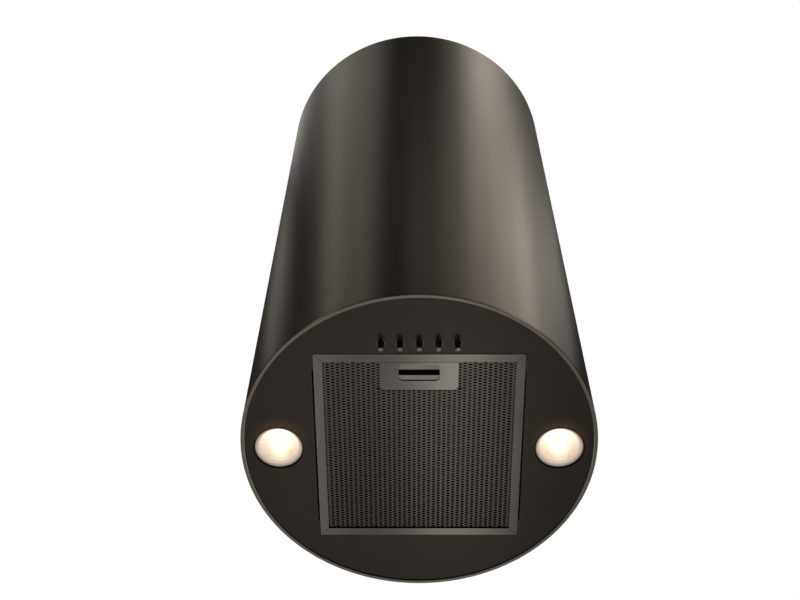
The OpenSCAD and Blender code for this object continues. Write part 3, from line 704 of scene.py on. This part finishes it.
def clip_side(x, y, half_x, half_y, cut_x, cut_y):
    """Where a cell meets the cut-out: behind it, beside it, inside it or nowhere."""
    if abs(x) < cut_x and y < cut_y + HANDLE_GAP:
        return "inside"
    if abs(x) - half_x >= cut_x or y - half_y >= cut_y:
        return None
    if y > cut_y:
        return "behind"
    return "beside" if abs(x) > cut_x else None


def cell_rings(sheet, x, y, half, sizes, outline, clip):
    """Four rings of eight vertices: the cell and its opening, each low and high."""
    base = outline[0].z
    rings = []
    for shape, half_u, half_v, margin, is_opening in (
        (CELL_SHAPE, half[0], half[1], 0.0, False),
        (OPENING_SHAPE, sizes.opening_long / 2, sizes.opening_wide / 2, EDGE_MARGIN, True),
    ):
        for side in (0.0, sizes.strand_thick):
            ring = []
            for u, v in shape:
                px, py = kept_on_sheet(x + u * half_u, y + v * half_v, outline, clip, margin)
                tilt = 0.5 - 0.5 * v if is_opening else 0.5
                ring.append(sheet.vertex(px, py, base + sizes.strand_lift * tilt + side))
            rings.append(ring)
    return rings


def cell_faces(rings):
    """Lower face, upper face and opening wall of one cell."""
    outer_low, outer_high, inner_low, inner_high = rings
    faces = []
    for k in range(len(outer_low)):
        n = (k + 1) % len(outer_low)
        faces.append((outer_low[k], outer_low[n], inner_low[n], inner_low[k]))
        faces.append((outer_high[n], outer_high[k], inner_high[k], inner_high[n]))
        faces.append((inner_low[k], inner_low[n], inner_high[n], inner_high[k]))
    return [face for face in faces if len(set(face)) == len(face)]


def build_expanded_mesh(sizes, material):
    """Staggered eye-shaped openings in a sheet, cut away for the handle."""
    outline = mesh_outline()
    low, high, cut_x, cut_y = outline
    columns = round((high.x - low.x) / sizes.mesh_column)
    rows = round((high.y - low.y) / sizes.mesh_row)
    step_x, step_y = (high.x - low.x) / columns, (high.y - low.y) / rows
    half = (step_x / 2, step_y / 2)
    sheet = SheetWelder()
    faces = []
    for column in range(columns):
        shifted = column % 2
        x = low.x + (column + 0.5) * step_x
        for row in range(rows + shifted):
            y = low.y + (row + 0.5 - 0.5 * shifted) * step_y
            clip = clip_side(x, y, half[0], half[1], cut_x, cut_y)
            if clip != "inside":
                faces += cell_faces(cell_rings(sheet, x, y, half, sizes, outline, clip))
    piece = add_object("expanded_mesh", sheet.vertices, faces, material, 50.0)
    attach(piece, "filter")
    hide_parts("filter_mesh")


# ---------------------------------------------------------------- buttons


BUTTON_COUNT = 5
# Share of the radius, and millimetres above the tip, of the dish in a button's end
BUTTON_DISH = ((0.15, 0.12), (0.6, 0.1))


def build_buttons(sizes, material):
    """Five turned push buttons, each with a rounded and slightly dished end."""
    edge = sizes.button_edge
    for number in range(1, BUTTON_COUNT + 1):
        node = f"button_{number}"
        low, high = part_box(node)
        radius = (high.x - low.x) / 2
        profile = [(reach * radius, low.z + up * MM) for reach, up in BUTTON_DISH]
        profile += arc(radius - edge, low.z + edge, edge, -90.0, 0.0, 8)
        profile += [(radius, high.z)]
        piece = turned(
            f"button_cap_{number}", profile, centre_of(node), material, sizes.turn_segments
        )
        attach(piece, node)
        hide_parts(node)


# ---------------------------------------------------------------- lamps


NECK_SHARE = 0.2


def dish_profile(mouth, wall, low_z, high_z, steps=18):
    """Inner and outer curve of the reflector, from its mouth to its neck."""
    neck = NECK_SHARE * mouth
    inner = []
    for step in range(steps + 1):
        up = step / steps
        flare = (mouth - wall - neck) * math.sqrt(1.0 - up)
        inner.append((neck + flare, low_z + (high_z - low_z) * up))
    outer = [(radius + wall, z) for radius, z in inner]
    return inner + outer[::-1]


def build_reflector(side, sizes):
    """The lit dish behind the cover glass."""
    node = f"lamp_reflector_{side}"
    low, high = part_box(node)
    centre, mouth = centre_of(node), (high.x - low.x) / 2
    metal = lit_reflector(f"lit_reflector_{side}", centre, mouth, low.z, high.z)
    profile = dish_profile(mouth, sizes.dish_wall, low.z, high.z)
    dish = turned(
        f"lamp_dish_{side}",
        profile,
        centre,
        metal,
        sizes.turn_segments,
        closed=True,
        sharp_degrees=30.0,
    )
    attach(dish, "hood")
    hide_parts(node)


def build_capsule(side, sizes, glow):
    """The quartz capsule that stands in the reflector's neck."""
    low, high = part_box(f"lamp_reflector_{side}")
    radius, tip = sizes.capsule_radius, low.z + sizes.capsule_up
    quartz = glowing_quartz(f"glowing_quartz_{side}", glow, tip)
    profile = arc(0.0, tip + radius, radius, -80.0, 0.0, 8)
    profile += [(radius, high.z - 5.0 * MM), (radius * 0.75, high.z - 1.0 * MM)]
    centre = centre_of(f"lamp_reflector_{side}")
    capsule = turned(f"lamp_capsule_{side}", profile, centre, quartz, sizes.turn_segments // 2)
    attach(capsule, "hood")


def paint_lamp_front(side, sizes):
    """Finishes of the cover glass and of the ring round it."""
    low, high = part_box(f"lamp_ring_{side}")
    centre = centre_of(f"lamp_reflector_{side}")
    outside = (high.x - low.x) / 2 - sizes.lamp_flange
    inside = outside - sizes.lamp_rim
    glass = lamp_cover_glass(f"cover_glass_{side}", centre, inside)
    ring = frosted_ring(f"frosted_ring_{side}", centre, inside, outside)
    paint_node(f"lamp_glass_{side}", glass)
    paint_node(f"lamp_ring_{side}", ring)


# ---------------------------------------------------------------- carried-over CAD nodes


def paint_node(node, material):
    """Gives a CAD node's object its finish."""
    for material_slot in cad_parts[node].material_slots:
        material_slot.material = material


def paint_by_slot(finishes):
    """Gives every CAD node the finish of the material slot it was made with."""
    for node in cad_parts.values():
        for material_slot in node.material_slots:
            name = material_slot.material.name.split(".")[0]
            if name in finishes:
                material_slot.material = finishes[name]


EDGE_WIDTHS_MM = {
    "filter_frame": 0.35,
    "handle_plate": 0.25,
    "latch_slider": 0.2,
    "button_bezels": 0.2,
}


def soften_edges(node, width_mm, limit_degrees=40.0):
    """Rounds a CAD node's hard edges a little, without touching its mesh."""
    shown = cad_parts[node]
    weld = shown.modifiers.new("weld", "WELD")
    weld.merge_threshold = 0.005 * MM
    bevel = shown.modifiers.new("edge", "BEVEL")
    bevel.width = width_mm * MM
    bevel.segments = 2
    bevel.limit_method = "ANGLE"
    bevel.angle_limit = math.radians(limit_degrees)
    bevel.harden_normals = True


# ---------------------------------------------------------------- stage


LIGHT_TONE = (1.0, 0.97, 0.93)
MIDDLE = Vector((0.0, 0.0, -0.4))


def aim(obj, target):
    """Points an object's -Z axis at target."""
    obj.rotation_euler = (target - obj.location).to_track_quat("-Z", "Y").to_euler()


def add_softbox(name, place, target, width, height, watts):
    """A soft area light."""
    data = bpy.data.lights.new(name, "AREA")
    data.shape = "RECTANGLE"
    data.size, data.size_y = width, height
    data.energy = watts
    data.color = LIGHT_TONE
    light = bpy.data.objects.new(name, data)
    bpy.context.collection.objects.link(light)
    light.location = place
    aim(light, Vector(target))
    light.visible_camera = False


# Distance from the hood's axis, height, side of each box, and watts at each heading
HIGH_RINGS = (
    (
        1.7,
        4.2,
        0.75,
        {
            -140: 2.2,
            -120: 0.55,
            -100: 0.45,
            -80: 1.12,
            -60: 0.78,
            -40: 0.6,
            40: 0.58,
            60: 2.78,
            80: 1.96,
        },
    ),
    (1.5, 1.7, 0.4, {-60: 0.39, 0: 0.17, 20: 0.24, 40: 0.47, 60: 0.9}),
    (2.6, 3.6, 0.7, {-120: 0.93, -40: 0.83, 80: 4.44, 100: 1.7, 120: 1.17}),
)


def around(distance, heading_degrees, height):
    """A place round the hood; heading 0 is in front and 90 to the right."""
    heading = math.radians(heading_degrees)
    return Vector((distance * math.sin(heading), -distance * math.cos(heading), height))


SIDE_HEADINGS = (50, 130, 230, 310)
SIDE_DISTANCE, SIDE_UP = 2.4, -0.2
SIDE_WIDTH, SIDE_HEIGHT, SIDE_WATTS = 0.6, 1.8, 5.0

# Name, place across, width and watts of the strips on the floor behind the hood
LOW_STRIPS = (
    ("low_strip_left", -0.35, 0.12, 0.59),
    ("low_strip_right", 0.12, 0.17, 1.17),
)
STRIP_BACK, STRIP_LENGTH, STRIP_UP = 1.48, 1.2, 0.02


def add_high_boxes():
    """Small soft boxes above the hood, in rings."""
    for distance, height, side, watts_at in HIGH_RINGS:
        for heading, watts in watts_at.items():
            name = f"high_box_{int(distance * 10)}_{heading + 180}"
            add_softbox(name, around(distance, heading, height), MIDDLE, side, side, watts)


def add_side_boxes():
    """Tall soft boxes beside the hood."""
    for heading in SIDE_HEADINGS:
        place = around(SIDE_DISTANCE, heading, SIDE_UP)
        add_softbox(f"side_box_{heading}", place, MIDDLE, SIDE_WIDTH, SIDE_HEIGHT, SIDE_WATTS)


def add_low_lights(drop):
    """Boxes that light the floor behind the hood, and strips that lie on it."""
    for name, x in (("floor_box_left", -1.7), ("floor_box_right", 1.7)):
        add_softbox(name, (x, 1.0, -1.3), (0.0, 1.2, -drop), 1.2, 1.2, 7.5)
    for name, x, width, watts in LOW_STRIPS:
        place = Vector((x, STRIP_BACK, STRIP_UP - drop))
        add_softbox(name, place, place + Vector((0.0, 0.0, 1.0)), width, STRIP_LENGTH, watts)


def light_world(ambient):
    """White to the camera, dim to everything else."""
    world = bpy.data.worlds.new("studio_surround")
    bpy.context.scene.world = world
    world.use_nodes = True
    tree = world.node_tree
    tree.nodes.clear()
    seen = tree.nodes.new("ShaderNodeBackground")
    seen.inputs["Color"].default_value = (1.0, 1.0, 1.0, 1.0)
    dim = tree.nodes.new("ShaderNodeBackground")
    dim.inputs["Color"].default_value = (*ambient, 1.0)
    path = tree.nodes.new("ShaderNodeLightPath")
    mix = tree.nodes.new("ShaderNodeMixShader")
    out = tree.nodes.new("ShaderNodeOutputWorld")
    tree.links.new(path.outputs["Is Camera Ray"], mix.inputs[0])
    tree.links.new(dim.outputs[0], mix.inputs[1])
    tree.links.new(seen.outputs[0], mix.inputs[2])
    tree.links.new(mix.outputs[0], out.inputs[0])


def add_floor(drop, half=6.0):
    """A plain pale floor."""
    f = Finish("pale_floor")
    clouds = f.noise(1.5, 3.0)
    seen = f.node("ShaderNodeLightPath", output="Is Camera Ray")
    material = f.shade(
        Base_Color=f.tint(clouds, (0.74, 0.73, 0.71), (0.8, 0.79, 0.77)),
        Roughness=f.span(clouds, 0.3, 0.7, 0.75, 0.85),
        Emission_Color=f.tint(seen, (0.0, 0.0, 0.0), (0.42, 0.41, 0.4)),
        Emission_Strength=1.0,
    )
    corners = [(x * half, y * half, -drop) for x, y in ((-1, -1), (1, -1), (1, 1), (-1, 1))]
    floor = add_object("studio_floor", corners, [(0, 1, 2, 3)], material)


def add_camera(stage):
    """The camera below and in front of the hood."""
    rise, turn, roll = stage.camera_rise, stage.camera_turn, stage.camera_roll
    forward = Vector(
        (math.sin(turn) * math.cos(rise), math.cos(turn) * math.cos(rise), math.sin(rise))
    )
    level = forward.cross(Vector((0, 0, 1))).normalized()
    upright = level.cross(forward)
    right = math.cos(roll) * level + math.sin(roll) * upright
    top = math.cos(roll) * upright - math.sin(roll) * level
    data = bpy.data.cameras.new("hood_camera")
    data.lens, data.sensor_width = stage.lens, 36.0
    data.clip_start, data.clip_end = 0.05, 50.0
    camera = bpy.data.objects.new("hood_camera", data)
    bpy.context.collection.objects.link(camera)
    turned_axes = Matrix((right, top, -forward)).transposed().to_4x4()
    camera.matrix_world = (
        Matrix.Translation((stage.camera_x, stage.camera_y, stage.camera_z)) @ turned_axes
    )
    bpy.context.scene.camera = camera


# ---------------------------------------------------------------- operators


class HOOD_OT_metals(bpy.types.Operator):
    """Paint every carried-over part with its finish"""

    bl_idname = "hood.metals"
    bl_label = "Finishes"

    def execute(self, context):
        """Makes the finishes and gives them to the CAD nodes."""
        tone = context.scene.hood_finishes
        finishes = {
            "sleeve_metal": satin_steel("sleeve_steel", tone.sleeve, 0.33),
            "ring_metal": satin_steel("rim_steel", tone.rim, 0.3, (1.0, 1.0, 0.3)),
            "panel_metal": lamp_lit_panel(
                "panel_steel", tone.panel, 0.3, lamp_places(), tone.stray
            ),
            "filter_frame_metal": pressed_steel("frame_steel", tone.filter_frame, 0.19),
            "filter_mesh_metal": pressed_steel("mesh_metal", tone.expanded_mesh, 0.24),
            "filter_pack_metal": layered_foil("filter_foil"),
            "handle_metal": pressed_steel("handle_steel", tone.handle, 0.17),
            "latch_metal": turned_steel("latch_steel", (0.3, 0.29, 0.27), 0.3),
            "button_metal": turned_steel("button_steel", tone.button, 0.28),
            "black_plastic": moulded_plastic("black_plastic_grain", (0.012, 0.012, 0.012), 0.5),
            "galvanised_steel": zinc_sheet("zinc_spangle"),
            "bright_steel": turned_steel("bright_turned_steel", (0.58, 0.57, 0.55), 0.25),
            "motor_metal": cast_enamel("motor_enamel", (0.05, 0.052, 0.055)),
            "winding": wound_copper("wound_copper"),
            "rubber": soft_rubber("soft_rubber"),
            "white_plastic": moulded_plastic("white_plastic_grain", (0.7, 0.7, 0.67), 0.42),
            "lamp_ring_metal": pressed_steel("lamp_ring_frost", (0.5, 0.46, 0.42), 0.5),
            "ceramic": fired_ceramic("socket_ceramic"),
        }
        # Painted shade on the handle plate's cut walls.
        wall_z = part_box("handle_plate")[0].z + 0.15 * MM
        shade_painted_walls(finishes["handle_metal"], wall_z, wall_z + 0.1 * MM, tone.shadow)
        paint_by_slot(finishes)
        paint_node("button_bezels", turned_steel("bezel_steel", tone.bezel, 0.3))
        return {"FINISHED"}


class HOOD_OT_edges(bpy.types.Operator):
    """Soften the folded and cut edges of the pressed parts"""

    bl_idname = "hood.edges"
    bl_label = "Edges"

    def execute(self, context):
        """Rounds the edges."""
        for node, width_mm in EDGE_WIDTHS_MM.items():
            soften_edges(node, width_mm)
        return {"FINISHED"}


class HOOD_OT_filter_mesh(bpy.types.Operator):
    """Build the expanded mesh of the grease filter"""

    bl_idname = "hood.filter_mesh"
    bl_label = "Filter mesh"

    def execute(self, context):
        """Builds the mesh in its frame."""
        build_expanded_mesh(context.scene.hood_sizes, bpy.data.materials["mesh_metal"])
        return {"FINISHED"}


class HOOD_OT_buttons(bpy.types.Operator):
    """Build the five push buttons"""

    bl_idname = "hood.buttons"
    bl_label = "Buttons"

    def execute(self, context):
        """Builds the buttons."""
        build_buttons(context.scene.hood_sizes, bpy.data.materials["button_steel"])
        return {"FINISHED"}


class HOOD_OT_lamps(bpy.types.Operator):
    """Build the two lit lamps"""

    bl_idname = "hood.lamps"
    bl_label = "Lamps"

    def execute(self, context):
        """Builds both lamps."""
        sizes = context.scene.hood_sizes
        for side in LAMP_SIDES:
            build_reflector(side, sizes)
            build_capsule(side, sizes, context.scene.hood_finishes.lamp_glow)
            paint_lamp_front(side, sizes)
        return {"FINISHED"}


class HOOD_OT_stage(bpy.types.Operator):
    """Set the floor, the light and the camera"""

    bl_idname = "hood.stage"
    bl_label = "Stage"

    def execute(self, context):
        """Builds the stage."""
        stage = context.scene.hood_stage
        drop = stage.floor_drop
        context.scene.view_settings.view_transform = "Standard"
        light_world((0.02, 0.02, 0.02))
        add_floor(drop)
        add_high_boxes()
        add_side_boxes()
        add_low_lights(drop)
        add_camera(stage)
        return {"FINISHED"}


class HOOD_PT_panel(bpy.types.Panel):
    """Lists the hood's settings and steps"""

    bl_idname = "HOOD_PT_panel"
    bl_label = "Range Hood"
    bl_space_type = "VIEW_3D"
    bl_region_type = "UI"
    bl_category = "Range Hood"

    def draw(self, context):
        """Draws the settings and the buttons."""
        for name in ("hood_finishes", "hood_sizes", "hood_stage"):
            group = getattr(context.scene, name)
            for key in group.__annotations__:
                self.layout.prop(group, key)
        for step in STEPS:
            self.layout.operator(step.bl_idname)


STEPS = (
    HOOD_OT_metals,
    HOOD_OT_edges,
    HOOD_OT_filter_mesh,
    HOOD_OT_buttons,
    HOOD_OT_lamps,
    HOOD_OT_stage,
)
GROUPS = (
    ("hood_finishes", HoodFinishes),
    ("hood_sizes", HoodSizes),
    ("hood_stage", StageSettings),
)


def register():
    """Registers the settings, the steps and the panel."""
    for name, group in GROUPS:
        bpy.utils.register_class(group)
        setattr(bpy.types.Scene, name, PointerProperty(type=group))
    for step in STEPS:
        bpy.utils.register_class(step)
    bpy.utils.register_class(HOOD_PT_panel)


def unregister():
    """Removes what register added."""
    bpy.utils.unregister_class(HOOD_PT_panel)
    for step in reversed(STEPS):
        bpy.utils.unregister_class(step)
    for name, group in reversed(GROUPS):
        delattr(bpy.types.Scene, name)
        bpy.utils.unregister_class(group)


def main():
    """Builds everything in order."""
    register()
    bpy.ops.hood.metals()
    bpy.ops.hood.edges()
    bpy.ops.hood.filter_mesh()
    bpy.ops.hood.buttons()
    bpy.ops.hood.lamps()
    bpy.ops.hood.stage()


if __name__ == "__main__":
    main()
